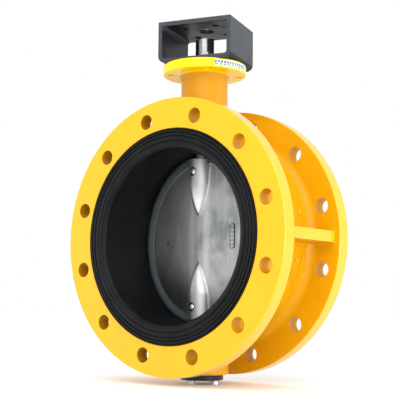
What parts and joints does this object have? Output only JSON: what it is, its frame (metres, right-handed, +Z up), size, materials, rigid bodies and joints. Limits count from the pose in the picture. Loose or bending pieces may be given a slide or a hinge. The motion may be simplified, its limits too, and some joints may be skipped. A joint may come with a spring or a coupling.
{
  "type": "butterfly valve",
  "caption": "Double-flanged rubber-lined butterfly valve with a keyed stem and an open actuator bracket on its top flange.",
  "frame": {"origin": "centre of the disc, where the pipe axis and the stem axis cross", "axes": "+Y along the pipe, +Z up the stem towards the bracket, +X completes the right hand"},
  "size_m": [0.4, 0.165, 0.5342],
  "materials": {
    "yellow_paint": "satin paint on ductile iron",
    "black_rubber": "moulded, matt",
    "cast_disc": "cast and blasted, satin",
    "stem_steel": "ground",
    "bronze": "machined",
    "black_steel": "black, satin",
    "zinc": "zinc plated",
    "white_ptfe": "machined",
    "label_film": "satin film",
    "gasket_fibre": "fibre sheet"
  },
  "bodies": {
    "valve_shell": {"valve_body": "yellow_paint", "seat_liner": "black_rubber", "neck_bush_lower": "bronze", "neck_bush_upper": "bronze", "boss_bush": "bronze", "stem_seal_lower": "black_rubber", "stem_seal_upper": "black_rubber", "stub_seal": "black_rubber", "gland_bush": "white_ptfe", "retaining_ring": "black_steel", "thrust_washer": "bronze", "bottom_gasket": "gasket_fibre", "bottom_cover": "black_steel", "cover_screw_1": "zinc", "cover_screw_2": "zinc", "cover_screw_3": "zinc", "cover_screw_4": "zinc", "cover_washer_1": "zinc", "cover_washer_2": "zinc", "cover_washer_3": "zinc", "cover_washer_4": "zinc", "actuator_bracket": "black_steel", "bracket_screw_1": "zinc", "bracket_screw_2": "zinc", "bracket_screw_3": "zinc", "bracket_screw_4": "zinc", "bracket_washer_1": "zinc", "bracket_washer_2": "zinc", "bracket_washer_3": "zinc", "bracket_washer_4": "zinc", "rim_label": "label_film"},
    "disc_assembly": {"disc": "cast_disc", "drive_stem": "stem_steel", "stub_stem": "stem_steel", "upper_taper_pin": "stem_steel", "lower_taper_pin": "stem_steel", "stem_key": "black_steel"}
  },
  "joints": [
    {"name": "disc_turn", "type": "hinge", "parent": "valve_shell", "child": "disc_assembly", "pos_m": [0, 0, 0], "axis": [0, 0, 1], "range_deg": [-79, 11]}
  ]
}
